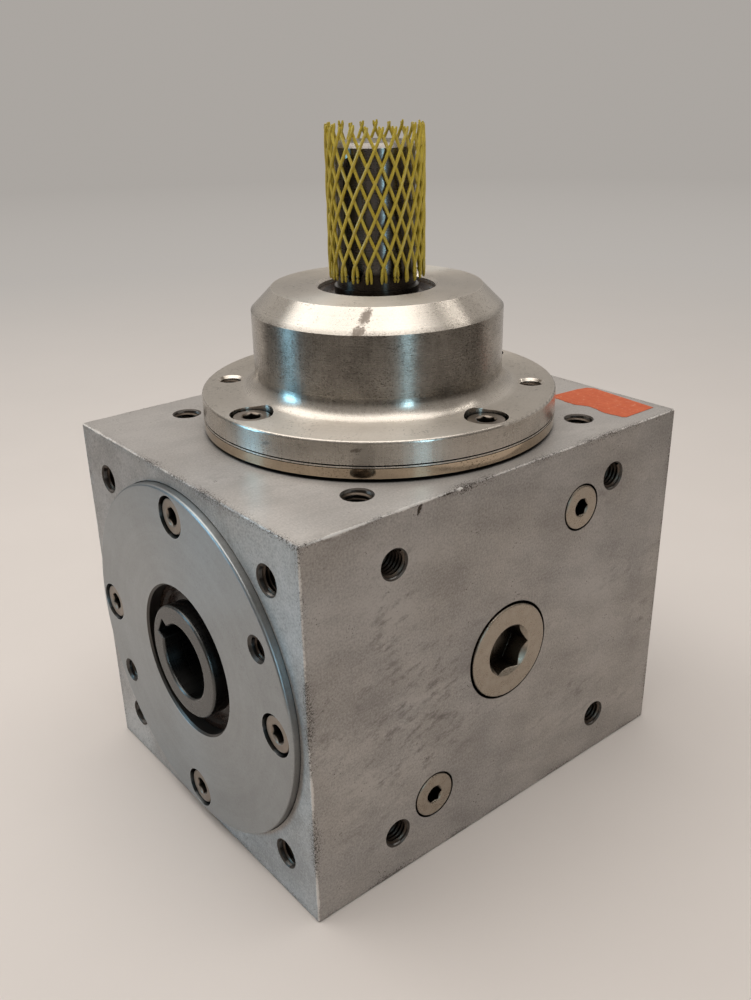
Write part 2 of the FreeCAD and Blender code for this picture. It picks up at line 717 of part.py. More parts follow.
def make_pinion_bearings():
    """Bearing pair, lock nut, sleeve, neck bearing and retaining ring inside the neck."""
    bearing = tapered_bearing(pinion_bearing_bore, pinion_bearing_outer, pinion_bearing_width,
                              pinion_roller_radius, pinion_roller_count)
    for name, shape in bearing.items():
        nodes["lower_pinion_" + name] = aimed(shape, UP * pinion_cones_bottom, UP)
        nodes["upper_pinion_" + name] = aimed(shape, UP * pinion_cones_top, UP * -1)
    bearing = roller_bearing(neck_bearing_bore, pinion_bearing_outer, neck_bearing_width,
                             neck_roller_radius, neck_roller_count)
    for name, shape in bearing.items():
        nodes["neck_bearing_" + name] = shape.translated(UP * neck_bearing_bottom)
    thread = pinion_bearing_bore + 2 * running_gap
    nodes["lock_washer"] = tube_up(thread, lock_nut_diameter, pinion_cones_top, nut_bottom)
    nut = tube_up(thread, lock_nut_diameter, nut_bottom, nut_top)
    slot = Part.makeBox(lock_nut_slot_depth * 2, lock_nut_slot, lock_nut_width,
                        V(lock_nut_diameter / 2 - lock_nut_slot_depth, -lock_nut_slot / 2, nut_bottom))
    nodes["lock_nut"] = nut.cut(around(slot, ORIGIN, UP, lock_nut_slots))
    sleeve_outer = pinion_bearing_outer - 2 * seat_gap
    sleeve_inner = sleeve_outer - 2 * sleeve_wall
    nodes["cup_sleeve"] = tube_up(sleeve_inner, sleeve_outer, pinion_cones_top, neck_bearing_bottom)
    ring_outer = pinion_bearing_outer + 2 * (ring_groove - free_gap)
    ring_inner = pinion_bearing_outer - 2 * ring_height
    ring = tube_up(ring_inner, ring_outer, pinion_cones_bottom - ring_width, pinion_cones_bottom)
    gap = Part.makeBox(pinion_bearing_outer, ring_gap, ring_width,
                       V(0, -ring_gap / 2, pinion_cones_bottom - ring_width))
    nodes["retaining_ring"] = ring.cut(gap)


def make_neck():
    """Flanged neck that carries the input shaft, with its shims, screws and seal."""
    spigot = cross_bore / 2 - seat_gap
    rim = cover_diameter / 2
    body = neck_diameter / 2
    bore = pinion_bearing_outer / 2
    seal = input_seal_outer / 2
    land = (neck_bearing_bore + input_seal_outer) / 4
    groove = bore + ring_groove
    groove_low = pinion_cones_bottom - ring_width
    scribe_start = neck_base + scribe_height
    land_start = scribe_start + scribe_lower
    land_end = land_start + scribe_land
    scribe_end = land_end + scribe_upper
    inner = rim - scribe_depth
    neck = turned_up([
        (bore, spigot_bottom), (spigot, spigot_bottom, race_edge), (spigot, neck_base), (rim, neck_base),
        (rim, scribe_start), (inner, scribe_start), (inner, land_start), (rim, land_start),
        (rim, land_end), (inner, land_end), (inner, scribe_end), (rim, scribe_end),
        (rim, flange_top, cover_edge), (body, flange_top, neck_fillet),
        (body, neck_top - neck_chamfer), (body - neck_chamfer, neck_top),
        (seal + seal_mouth, neck_top), (seal, neck_top - seal_mouth), (seal, neck_wall_top),
        (land, neck_wall_top), (land, neck_bearing_top), (bore, neck_bearing_top),
        (bore, pinion_cones_bottom), (groove, pinion_cones_bottom),
        (groove, groove_low), (bore, groove_low)])
    cutters = []
    for place in screw_places(UP * flange_top, ALONG_X, ALONG_Y):
        counterbore = drill(screw_counterbore, flange_top - neck_head_seat)
        above = Part.makeCylinder(screw_counterbore / 2, neck_fillet)
        cutters += [counterbore.translated(place), above.translated(place)]
        cutters.append(drill(screw_clearance_hole, neck_flange + free_gap).translated(place))
    jack = drill(screw_thread, neck_flange + free_gap, jack_countersink)
    for turn in (neck_jack_angle, neck_jack_angle + 180):
        place = V(screw_circle / 2, 0, flange_top)
        cutters.append(jack.translated(place).rotated(ORIGIN, UP, turn))
    nodes["input_neck"] = neck.cut(cutters)
    shims = tube_up(cross_bore, neck_shim_diameter, housing_height, neck_base)
    screw = cap_screw(neck_screw_length)
    screws = []
    for place in screw_places(UP * neck_head_seat, ALONG_X, ALONG_Y):
        screws.append(screw.translated(place))
        shims = shims.cut(drill(screw_clearance_hole, neck_flange).translated(place))
    nodes["neck_shims"] = shims
    nodes["neck_screws"] = Part.makeCompound(screws)
    seal_body = seal_ring(neck_bearing_bore, input_seal_outer, input_seal_width)
    nodes["input_seal"] = seal_body.translated(UP * neck_wall_top)


def make_net():
    """Loose net sleeve that leans on the input shaft."""
    lean = net_inner / 2 - input_diameter / 2 - net_gap
    turn = math.radians(net_lean_angle)
    tube = tube_up(net_inner, net_inner + 2 * net_wall, 0, net_length)
    place = V(lean * math.cos(turn), lean * math.sin(turn), neck_top + net_lift)
    nodes["protective_net"] = tube.translated(place)


nodes["housing"] = make_housing()
make_plugs()
make_covers()
make_output_bearings()
make_output_shaft()
make_input_shaft()
make_pinion_bearings()
make_neck()
make_net()

os.makedirs("parts", exist_ok=True)
for name, shape in nodes.items():
    shape.exportStep("parts/" + name + ".step")
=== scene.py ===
import math
import random
from itertools import product

import bmesh
import bpy
from mathutils import Matrix, Quaternion, Vector


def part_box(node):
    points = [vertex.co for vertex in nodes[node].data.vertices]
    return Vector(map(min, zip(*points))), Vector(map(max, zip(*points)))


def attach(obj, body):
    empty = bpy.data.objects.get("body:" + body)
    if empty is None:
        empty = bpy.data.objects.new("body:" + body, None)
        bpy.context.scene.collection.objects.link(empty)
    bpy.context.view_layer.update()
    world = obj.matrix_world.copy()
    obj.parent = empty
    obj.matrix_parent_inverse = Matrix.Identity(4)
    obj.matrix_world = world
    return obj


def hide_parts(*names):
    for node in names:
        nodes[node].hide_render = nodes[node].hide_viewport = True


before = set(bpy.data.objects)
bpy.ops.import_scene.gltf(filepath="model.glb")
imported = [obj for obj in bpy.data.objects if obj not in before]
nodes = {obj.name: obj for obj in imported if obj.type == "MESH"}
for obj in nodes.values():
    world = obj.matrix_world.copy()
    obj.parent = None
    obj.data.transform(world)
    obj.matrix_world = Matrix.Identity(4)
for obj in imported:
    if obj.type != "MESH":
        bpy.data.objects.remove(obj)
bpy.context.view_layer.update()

# Sizes in metres, places from the frame
MM = 0.001
HOUSING_LOW, HOUSING_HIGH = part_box("housing")
COVER_LOW, COVER_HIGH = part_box("left_cover")
NET_LOW, NET_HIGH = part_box("protective_net")
AXIS_HEIGHT = (COVER_LOW.z + COVER_HIGH.z) / 2
HOUSING_TOP = HOUSING_HIGH.z
FLANGE_RISE = 14.0 * MM
FLANGE_TOP = HOUSING_TOP + FLANGE_RISE
OUTPUT_AXIS = (0, 0, AXIS_HEIGHT)
INPUT_AXIS = (0, 0, 0)
UP = Vector((0.0, 0.0, 1.0))
DOWN = Vector((0.0, 0.0, -1.0))
BACKWARD = Vector((0.0, 1.0, 0.0))
SIDES = (-1, 1)

# Tapped holes: M10 on a square on every face, M8 jack holes in covers and neck flange
MOUNT_REACH = 52.5 * MM
MOUNT_RADIUS = 5.0 * MM
MOUNT_PITCH = 1.5 * MM
MOUNT_MOUTH = 0.5 * MM
MOUNT_DEPTH = 11.2 * MM
JACK_REACH = 56.0 * MM
JACK_RADIUS = 4.0 * MM
JACK_PITCH = 1.25 * MM
JACK_MOUTH = 0.9 * MM
JACK_DEPTH = 10.6 * MM
COVER_JACK_ANGLE = 30.0
NECK_JACK_ANGLE = 135.0

# Thread ridges: height and half the foot as shares of the pitch, and how far the foot is sunk into the wall
THREAD_HEIGHT = 0.54
THREAD_HALF_FOOT = 0.47
THREAD_SINK = 0.02 * MM
THREAD_STEPS = 24
THREAD_SMOOTH_ANGLE = 30

# Net sleeve: strands of two hands that meet at level rows of crossings, their ends uneven by millimetres
STRANDS = 23
STRAND_RADIUS = 0.56 * MM
STRAND_SIDES = 7
STRAND_POINTS = 46
STRAND_TIP = 0.55
STRAND_NESTING = 0.8 * STRAND_RADIUS
STRAND_SMOOTH_ANGLE = 50
FIRST_CROSSING = 6.1 * MM
CROSSING_PITCH = 5.34 * MM
CROSSINGS = 8
END_SPREAD = 0.15
END_STEEPNESS = 3
LOW_ENDS = (0.0, 0.6)
HIGH_ENDS = (-0.6, 0.5)
NET_SQUEEZE = 0.06
NET_SQUEEZE_TURN = math.radians(200.9)
NET_WOBBLE = 0.16 * MM
NET_WOBBLE_TURN = 9
NET_SEED = 4

# Orange packing label: corners in millimetres, straight between them and torn from the last to the first
LABEL_CORNERS = ((65.6, -62.3), (66.6, -63.4), (83.0, -63.4), (85.6, -33.0), (84.2, -30.5), (80.0, -29.2),
                 (67.5, -28.0), (64.4, -31.0))
LABEL_LIFT = 0.01 * MM
LABEL_THICKNESS = 0.12 * MM
LABEL_STEPS = 80
LABEL_SEED = 11
TEAR_WIDTH = 1.1 * MM
TEAR_JITTER = 0.12 * TEAR_WIDTH
TEAR_KEPT = 0.7
TEAR_TURN = 11
TEAR_START = 2.2

# Nicks in the housing's front top edge in millimetres: middle, direction, half length and half width
HOUSING_NICKS = (((-42.3, -70.0, 138.0), (0.35, 0.0, 0.94), 2.7, 1.0),
                 ((-44.0, -70.0, 139.6), (1.0, 0.0, 0.0), 2.6, 0.6),
                 ((-30.5, -70.0, 139.5), (1.0, 0.0, 0.0), 3.6, 0.5))
HOUSING_DENT = ((-25.4, -70.0, 139.7), (1.0, 0.0, 0.0), 1.7, 0.8)

# Where hands smudged the front face, in millimetres
SMUDGED_PLACE = (-42.0, -70.0, 62.0)
SMUDGED_REACH = 46.0
SMUDGED_CORE = 0.4 * SMUDGED_REACH

# Seal mouth and ring of holes in the covers, radii in millimetres
COVER_MOUTH = (20.0, 28.65)
COVER_HOLES = (49.0, 61.5)

# Heights in millimetres between which the darker foot of the input shaft ends
SHAFT_FOOT_DARK_END = (198.1, 196.1)

# Neck in millimetres: heights of its ground foot, grooves and wall, which is tarnished and darkened as
# painted shade, radii at a groove's mouth
NECK_GROUND_BAND = (141.4, 144.7)
NECK_GROOVES = (144.72, 145.98)
NECK_GROOVE_MOUTH = (64.9, 64.8)
NECK_WALL_BAND = (160.0, 182.5)

# Rubbed marks on the neck: turn, radius, height, slope and lean, half length and half width
NECK_SCUFFS = ((225.2, 40.3, 187.6, 45.0, 20.0, 4.6, 2.2), (222.6, 44.2, 183.6, 45.0, 60.0, 3.2, 2.5),
               (196.0, 65.0, 150.0, 0.0, 80.0, 2.6, 0.8), (224.0, 65.0, 151.0, 0.0, 80.0, 2.4, 0.9))

# Colours of wear and dirt on the metal; worn edges are also painted highlight, grime and mouths also painted
# shade, grooves and the shaft's foot darker
YELLOWED = (1.0, 0.93, 0.82)
WARMED = (0.86, 0.76, 0.63)
WORN_EDGE_AND_HIGHLIGHT = (0.80, 0.77, 0.73)
RUBBED_METAL = (0.20, 0.16, 0.13)
HOUSING_RUST = (0.06, 0.045, 0.035)
HOUSING_MOUTHS_DIRT_AND_SHADE = (0.05, 0.039, 0.031)
HOUSING_GRIME_AND_SHADE = (0.016, 0.011, 0.008)
TURNED_RUST = (0.075, 0.058, 0.043)
TURNED_GRIME_AND_SHADE = (0.022, 0.016, 0.011)
COVER_MOUTH_SHADE = (0.05, 0.04, 0.032)
NECK_SPOTS = (0.05, 0.037, 0.027)
GROOVE_DARK = (0.012, 0.009, 0.007)
SHAFT_FOOT_DARK = (0.03, 0.023, 0.018)

# Colours of the label: dark and light stripes, faded patches and bare fibres
LABEL_DARK = (0.45, 0.075, 0.026)
LABEL_LIGHT = (0.60, 0.135, 0.055)
LABEL_FADED = (0.64, 0.18, 0.08)
LABEL_FIBRES = (0.70, 0.44, 0.31)

# Samples that Cycles takes for rounded edges and for hollows
BEVEL_SAMPLES = 6
HOLLOW_SAMPLES = 8

# Camera, as in the photograph
CAMERA_PLACE = Vector((-0.22404, -0.27273, 0.26188))
CAMERA_RIGHT = Vector((0.770804, -0.636782, -0.019232))
CAMERA_FORWARD = Vector((0.576181, 0.709693, -0.405403))
CAMERA_LENS = 35.47
CAMERA_SENSOR = 36.0
CAMERA_CLIP = 0.01

# Floor: its colours, and the distances in metres over which it turns into the backdrop
FLOOR_COLOUR = (0.735, 0.685, 0.65)
FLOOR_RADIUS = 6.0
FLOOR_SEGMENTS = 128
FLOOR_DROP = 0.05 * MM
BACKDROP_NEAR = (0.50, 0.47, 0.44)
BACKDROP_FAR = (0.405, 0.38, 0.355)
BACKDROP_START = (0.3, 1.1)
BACKDROP_CHANGE = (0.6, 2.2)

# Dark floor on the camera's side, which only reflections show
FRONT_FLOOR = (0.03, 0.024, 0.018)
FRONT_FLOOR_START = (0.42, 0.58)
FRONT_FLOOR_TURN = (-0.6, -0.3)
FRONT_DIRECTION = (-0.743, -0.669, 0.0)

# Room that the metal reflects
ROOM_BACK_LOW = (0.35, 0.328, 0.305)
ROOM_BACK_HIGH = (0.68, 0.65, 0.615)
ROOM_FRONT_LOW = (0.12, 0.105, 0.09)
ROOM_FRONT_HIGH = (0.33, 0.31, 0.29)
ROOM_RISE = (0.02, 0.42)
ROOM_TURN = (0.15, 0.8)
BACK_DIRECTION = (0.63, 0.776, 0.0)

# Lamps
CEILING_TURN = math.radians(-58.7)
CEILING_WHITE = (1.0, 0.975, 0.94)
TUBE_WHITE = (1.0, 0.97, 0.92)
LEFT_SKY = (0.3, 0.7, 1.0)
FRONT_SKY = (0.46, 0.8, 1.0)
WINDOW_AIM = Vector((0.0, 0.0, 0.1))


class Graph:
    """Short ways to add nodes to a shader tree."""

    def __init__(self, tree):
        self.tree = tree

    def set(self, socket, value):
        """Links a socket to an output or sets it to a constant."""
        if isinstance(value, bpy.types.NodeSocket):
            self.tree.links.new(value, socket)
        elif isinstance(value, tuple) and len(value) == 3 and socket.type == "RGBA":
            socket.default_value = (*value, 1.0)
        else:
            socket.default_value = value

    def node(self, kind, **inputs):
        """New node with its inputs set, spaces in their names given as underscores."""
        made = self.tree.nodes.new(kind)
        for key, value in inputs.items():
            self.set(made.inputs[key.replace("_", " ")], value)
        return made

    def span(self, value, low, high, to_low=0.0, to_high=1.0):
        """A value's range mapped to another, clamped."""
        made = self.node("ShaderNodeMapRange", Value=value, From_Min=low, From_Max=high,
                         To_Min=to_low, To_Max=to_high)
        return made.outputs[0]

    def work(self, operation, first, second=0.0):
        """Arithmetic on two values."""
        made = self.tree.nodes.new("ShaderNodeMath")
        made.operation = operation
        self.set(made.inputs[0], first)
        self.set(made.inputs[1], second)
        return made.outputs[0]

    def times(self, first, second):
        """Product of two values."""
        return self.work("MULTIPLY", first, second)

    def larger(self, first, second):
        """The larger of two values."""
        return self.work("MAXIMUM", first, second)

    def total(self, *terms):
        """Sum of values, each with its weight."""
        found = None
        for value, weight in terms:
            part = self.times(value, weight)
            found = part if found is None else self.work("ADD", found, part)
        return found

    def vector(self, operation, first, second=None, output="Value"):
        """Vector arithmetic."""
        made = self.tree.nodes.new("ShaderNodeVectorMath")
        made.operation = operation
        self.set(made.inputs[0], first)
        if second is not None:
            self.set(made.inputs[1], second)
        return made.outputs[output]

    def blend(self, share, first, second, mode="MIX"):
        """Two colours mixed by a share."""
        made = self.tree.nodes.new("ShaderNodeMix")
        made.data_type = "RGBA"
        made.blend_type = mode
        for socket, value in zip((made.inputs[0], made.inputs[6], made.inputs[7]), (share, first, second)):
            self.set(socket, value)
        return made.outputs[2]


class Finish(Graph):
    """A Principled material whose textures are laid out in millimetres of the piece's own frame."""

    def __init__(self, name, **sockets):
        self.material = bpy.data.materials.new(name)
        self.material.use_nodes = True
        super().__init__(self.material.node_tree)
        self.shader = self.tree.nodes["Principled BSDF"]
        for socket, value in sockets.items():
            self.shader.inputs[socket.replace("_", " ")].default_value = value
        self.place = self.node("ShaderNodeTexCoord").outputs["Object"]
        self.millimetres = self.moved((1000, 1000, 1000))
        self.colour = None
        self.roughness = None
        self.normal = None

    def moved(self, scale, shift=(0, 0, 0)):
        """Object coordinates scaled and shifted."""
        return self.node("ShaderNodeMapping", Vector=self.place, Scale=scale, Location=shift).outputs[0]

    def noise(self, scale, detail, rough=0.55, vector=None, distortion=0.0):
        """Noise with features of about 1 / scale millimetres."""
        made = self.node("ShaderNodeTexNoise", Vector=vector or self.millimetres, Scale=scale, Detail=detail,
                         Roughness=rough, Distortion=distortion)
        return made.outputs[0]

    def streaks(self, along, across, turn, detail, rough=0.6):
        """Noise stretched along a turned direction: features along and across it in millimetres."""
        turned = self.node("ShaderNodeVectorRotate", Vector=self.millimetres)
        turned.rotation_type = "EULER_XYZ"
        turned.inputs["Rotation"].default_value = [math.radians(a) for a in turn]
        scaled = self.vector("MULTIPLY", turned.outputs[0], (1 / along, 1 / across, 1 / across), "Vector")
        return self.noise(1.0, detail, rough, scaled)

    def pits(self, scale, size, vector=None):
        """Small spots scattered with about scale spots per millimetre."""
        cells = self.node("ShaderNodeTexVoronoi", Vector=vector or self.millimetres, Scale=scale)
        return self.span(cells.outputs["Distance"], size, size * 0.4)

    def bump(self, height, depth, strength):
        """Adds a relief of a given depth in metres."""
        inputs = {"Height": height, "Distance": depth, "Strength": strength}
        if self.normal is not None:
            inputs["Normal"] = self.normal
        self.normal = self.node("ShaderNodeBump", **inputs).outputs[0]

    def true_normal(self):
        """Normal of the surface without any relief."""
        return self.node("ShaderNodeNewGeometry").outputs["Normal"]

    def rounded_normal(self, radius):
        """Normal that turns round over the edges."""
        made = self.node("ShaderNodeBevel", Radius=radius)
        made.samples = BEVEL_SAMPLES
        return made.outputs[0]

    def round_edges(self, radius):
        """Starts the relief from rounded normals, so that the edges catch the light."""
        self.normal = self.rounded_normal(radius)

    def edges(self, radius):
        """1 along edges and 0 on open faces, from how a rounded normal leaves the true one."""
        likeness = self.vector("DOT_PRODUCT", self.rounded_normal(radius), self.true_normal())
        return self.span(likeness, 0.995, 0.86)

    def hollow_shade_and_dirt(self, distance, clear, full):
        """1 deep in holes and corners and 0 in the open, for grime and painted shade there."""
        shade = self.node("ShaderNodeAmbientOcclusion", Distance=distance)
        shade.samples = HOLLOW_SAMPLES
        return self.span(shade.outputs["AO"], clear, full)

    def facing(self, direction, low, high):
        """1 on faces whose normals lie along a direction, 0 on others."""
        return self.span(self.vector("DOT_PRODUCT", self.true_normal(), direction), low, high)

    def slanted(self):
        """0 on faces square to an axis of the piece and 1 on chamfers and round walls."""
        normal = self.vector("ABSOLUTE", self.true_normal(), output="Vector")
        x, y, z = self.node("ShaderNodeSeparateXYZ", Vector=normal).outputs
        return self.span(self.larger(self.larger(x, y), z), 0.99, 0.94)

    def box_edge(self, low, high):
        """Distance in millimetres from the nearest edge of a box, for places on its faces."""
        middle = (low + high) / 2 / MM
        half = (high - low) / 2 / MM
        offset = self.vector("SUBTRACT", self.millimetres, middle, "Vector")
        inside = self.vector("SUBTRACT", half, self.vector("ABSOLUTE", offset, output="Vector"), "Vector")
        x, y, z = self.node("ShaderNodeSeparateXYZ", Vector=inside).outputs
        least = self.work("MINIMUM", self.work("MINIMUM", x, y), z)
        most = self.larger(self.larger(x, y), z)
        return self.total((x, 1.0), (y, 1.0), (z, 1.0), (least, -1.0), (most, -1.0))

    def turning(self, axis):
        """Draws reflections out across tool marks that run round an axis of the piece."""
        tangent = self.node("ShaderNodeTangent")
        tangent.direction_type = "RADIAL"
        tangent.axis = axis
        self.set(self.shader.inputs["Tangent"], tangent.outputs[0])

    def band(self, travel, limits, fade):
        """1 between two places along a line and 0 beyond them."""
        low, high = limits
        return self.times(self.span(travel, low - fade, low), self.span(travel, high + fade, high))

    def mark(self, centre, along, across, length, width):
        """Ragged patch about a point in millimetres, long in one direction and narrow in the others."""
        offset = self.vector("SUBTRACT", self.millimetres, centre, "Vector")
        reach = self.times(self.noise(1.2, detail=6.0, rough=0.85), 4.0)
        for aim, size in ((along, length), (across, width), (along.cross(across), width)):
            share = self.work("DIVIDE", self.vector("DOT_PRODUCT", offset, aim), size)
            reach = self.work("ADD", reach, self.times(share, share))
        return self.span(reach, 2.7, 2.35)

    def coat(self, share, colour, mode="MIX"):
        """Lays a colour over what the piece has so far."""
        self.colour = self.blend(share, self.colour, colour, mode)

    def finish(self):
        """Links the collected colour, roughness and relief to the shader."""
        self.set(self.shader.inputs["Base Color"], self.colour)
        self.set(self.shader.inputs["Roughness"], self.roughness)
        if self.normal is not None:
            self.set(self.shader.inputs["Normal"], self.normal)
        return self.material


def shaded(colour, factor):
    """A colour made lighter or darker, at most white."""
    return tuple(min(1.0, c * factor) for c in colour)


def smudges(made, wipes):
    """Dark smudges along some of the wipe marks, and where hands held the front face."""
    blots = made.span(made.streaks(9.0, 3.6, (10, 12, 10), detail=6.0, rough=0.75), 0.51, 0.66)
    wiped = made.times(made.span(wipes, 0.45, 0.62, 0.1, 0.7),
                       made.span(made.noise(0.024, detail=3.0), 0.46, 0.58, 0.2, 1.0))
    away = made.vector("LENGTH", made.vector("SUBTRACT", made.millimetres, SMUDGED_PLACE, "Vector"))
    held = made.span(away, SMUDGED_REACH, SMUDGED_CORE, 0.0, 0.75)
    return made.times(blots, made.larger(wiped, held))


def scratches(made):
    """Fine long scratches in a few places."""
    line = made.work("SUBTRACT", made.streaks(30.0, 1.6, (20, 62, 15), detail=1.0), 0.5)
    fine = made.span(made.work("ABSOLUTE", line), 0.006, 0.0)
    return made.times(fine, made.span(made.noise(0.05, detail=2.0), 0.54, 0.6))


def edge_mark(made, place, aim, length, width):
    """Ragged mark in the housing's front top edge."""
    return made.mark(place, Vector(aim), BACKWARD, length, width)


def edge_wear_and_highlight(made, edge):
    """Shares of bright wear, which is also painted highlight, and of rust along the housing's edges, with
    the dent and the nicks.
    """
    struck = made.noise(0.045, detail=3.0, rough=0.6)
    bare = made.total((edge, 1.0), (made.noise(1.1, detail=6.0, rough=0.85), 3.0), (struck, 3.0))
    # Bright worn edges and dent: wear, and also painted highlight
    worn_and_highlight = made.larger(made.span(bare, 3.3, 3.12, 0.0, 0.8), edge_mark(made, *HOUSING_DENT))
    specks = made.total((made.noise(1.6, detail=5.0, rough=0.8), 1.0), (struck, 0.4), (edge, -0.03))
    rust = made.times(made.span(specks, 0.715, 0.755, 0.0, 0.9), made.span(edge, 5.0, 2.0))
    for nick in HOUSING_NICKS:
        rust = made.larger(rust, edge_mark(made, *nick))
    return worn_and_highlight, rust


def plate_metal(name, light, dark, stain, rough):
    """Milled and ground bare metal: cloudy, smudged, scratched, pitted, with a top lightened as painted
    light, worn edges that also carry painted highlight, and holes darkened with dirt and painted shade.
    """
    made = Finish(name, Metallic=0.65, Anisotropic=0.8, Anisotropic_Rotation=0.25, Specular_IOR_Level=0.3)
    made.turning("Z")
    cloud = made.noise(0.03, detail=5.0, rough=0.55)
    wipes = made.streaks(45.0, 9.0, (10, -15, 10), detail=5.0, rough=0.6)
    grain = made.noise(1.3, detail=4.0, rough=0.75)
    lines = made.streaks(60.0, 0.22, (0, 0, 0), detail=3.0)
    yellowed = made.span(made.noise(0.018, detail=4.0, rough=0.6), 0.42, 0.62, 0.0, 0.2)
    scratch = scratches(made)
    edge = made.box_edge(HOUSING_LOW, HOUSING_HIGH)
    worn_and_highlight, rust = edge_wear_and_highlight(made, edge)
    pitted = made.span(made.noise(0.12, detail=5.0, rough=0.65), 0.58, 0.68, 0.0, 0.9)
    pit = made.larger(made.times(made.pits(0.9, 0.3), pitted), rust)
    chips = made.span(made.noise(0.5, detail=5.0, rough=0.75), 0.48, 0.56)
    tone = made.total((cloud, 0.4), (wipes, 0.25), (grain, 0.6))
    made.colour = made.blend(made.span(tone, 0.52, 0.72), dark, light)
    made.coat(yellowed, YELLOWED, "MULTIPLY")
    made.coat(smudges(made, wipes), stain)
    # Painted light: faces turned upwards lightened, as if lit from above
    made.coat(made.times(made.facing(UP, 0.5, 0.9), 0.35), shaded(light, 1.05))
    made.coat(made.times(scratch, 0.45), shaded(light, 1.4))
    made.coat(pit, HOUSING_RUST)
    # Wear and painted highlight: edges lightened
    made.coat(worn_and_highlight, WORN_EDGE_AND_HIGHLIGHT)
    # Dirt and painted shade: hole walls and mouth chamfers darkened
    made.coat(made.times(made.slanted(), made.span(edge, 3.0, 5.0, 0.0, 0.9)), HOUSING_MOUTHS_DIRT_AND_SHADE)
    # Grime and painted shade: darker deep in holes and corners
    made.coat(made.hollow_shade_and_dirt(8 * MM, 0.5, 0.2), HOUSING_GRIME_AND_SHADE)
    uneven = made.total((cloud, 0.5), (lines, 0.35), (grain, 0.3))
    made.roughness = made.span(uneven, 0.35, 0.8, rough - 0.08, rough + 0.1)
    made.bump(lines, depth=0.012 * MM, strength=0.3)
    made.bump(grain, depth=0.02 * MM, strength=0.35)
    made.bump(made.work("SUBTRACT", 1.0, made.larger(scratch, pit)), depth=0.06 * MM, strength=0.5)
    made.bump(made.times(made.edges(0.8 * MM), chips), depth=0.12 * MM, strength=0.5)
    return made.finish()


def around(axis, along, across):
    """Three values, one along an axis of the piece and the same one across it both ways."""
    return {"X": (along, across, across), "Z": (across, across, along)}[axis]


class Turned(Finish):
    """Lathe-turned bare metal: rings, reflections drawn out across them, pits, edges lightened by wear and
    painted highlight, and corners darkened by grime and painted shade.
    """

    def __init__(self, name, axis, centre, light, dark, rough, pitted, stretch, faced=0.0):
        super().__init__(name, Metallic=1.0, Anisotropic=stretch, Anisotropic_Rotation=0.25)
        self.turning(axis)
        self.dark = dark
        across = around(axis, 0, 1000)
        along = around(axis, 1.0, 0.0)
        shift = tuple(-c / MM if a else 0 for c, a in zip(centre, across))
        self.radius = self.vector("LENGTH", self.moved(across, shift))
        self.travel = self.vector("DOT_PRODUCT", self.millimetres, along)
        lathe = self.node("ShaderNodeCombineXYZ", X=self.radius, Y=self.travel).outputs[0]
        self.rings = self.noise(2.6, detail=4.0, rough=0.7, vector=lathe)
        self.grain = self.noise(1.9, detail=3.0, rough=0.75)
        bands = self.noise(0.22, detail=3.0, rough=0.5, vector=lathe)
        runs = self.noise(1.0, detail=4.0, rough=0.6, vector=self.moved(around(axis, 20, 700)))
        cloud = self.noise(0.06, detail=6.0, rough=0.62, distortion=0.4)
        tone = self.total((cloud, 0.4), (bands, 0.2), (runs, 0.25), (self.grain, 0.35))
        self.colour = self.blend(self.span(tone, 0.44, 0.78), dark, light)
        self.pit = self.rust(self.moved(around(axis, 1900, 800)), pitted)
        # Wear and painted highlight: edges lightened
        worn_and_highlight = self.times(self.edges(0.5 * MM), self.span(self.grain, 0.3, 0.7, 0.4, 0.9))
        self.coat(worn_and_highlight, shaded(light, 1.5))
        # Grime and painted shade: darker deep in holes and corners
        self.coat(self.hollow_shade_and_dirt(5 * MM, 0.5, 0.2), TURNED_GRIME_AND_SHADE)
        uneven = self.total((self.rings, 0.5), (cloud, 0.3), (runs, 0.3))
        uneven = self.span(uneven, 0.35, 0.75, rough - 0.06, rough + 0.08)
        self.roughness = self.work("ADD", uneven, self.times(self.facing(along, 0.9, 0.995), faced))

    def rust(self, flat, pitted):
        """Lays rust pits and specks on in patches, and returns the share of pits."""
        patches = self.span(self.noise(0.09, detail=5.0, rough=0.65), 0.46, 0.62, 0.0, pitted)
        pit = self.times(self.pits(1.0, 0.25, flat), patches)
        specks = self.span(self.noise(0.9, detail=3.0, rough=0.7, vector=flat), 0.56, 0.68)
        self.coat(self.larger(pit, self.times(self.times(specks, patches), 0.6)), TURNED_RUST)
        return pit

    def finish(self):
        """Adds the relief of rings and pits and closes the material."""
        self.bump(self.rings, depth=0.01 * MM, strength=0.35)
        self.bump(self.work("SUBTRACT", 1.0, self.pit), depth=0.06 * MM, strength=0.5)
        return super().finish()


def cover_metal():
    """Turned covers, dark in the seal's mouth and round the mouths of the holes as painted shade."""
    made = Turned("turned_cover", "X", OUTPUT_AXIS, light=(0.39, 0.405, 0.41), dark=(0.275, 0.285, 0.288),
                  rough=0.36, pitted=0.25, stretch=0.35)
    # Painted shade: the seal's mouth and the holes' walls and mouths darkened
    holes = made.times(made.slanted(), made.band(made.radius, COVER_HOLES, 0.5))
    mouth_shade = made.larger(made.band(made.radius, COVER_MOUTH, 0.15), holes)
    made.coat(made.times(mouth_shade, 0.85), COVER_MOUTH_SHADE)
    return made.finish()


def output_metal():
    """Ground hollow shaft, whose edges catch the light."""
    made = Turned("ground_output", "X", OUTPUT_AXIS, light=(0.122, 0.121, 0.117), dark=(0.08, 0.079, 0.076),
                  rough=0.28, pitted=0.3, stretch=0.3)
    made.round_edges(0.8 * MM)
    return made.finish()


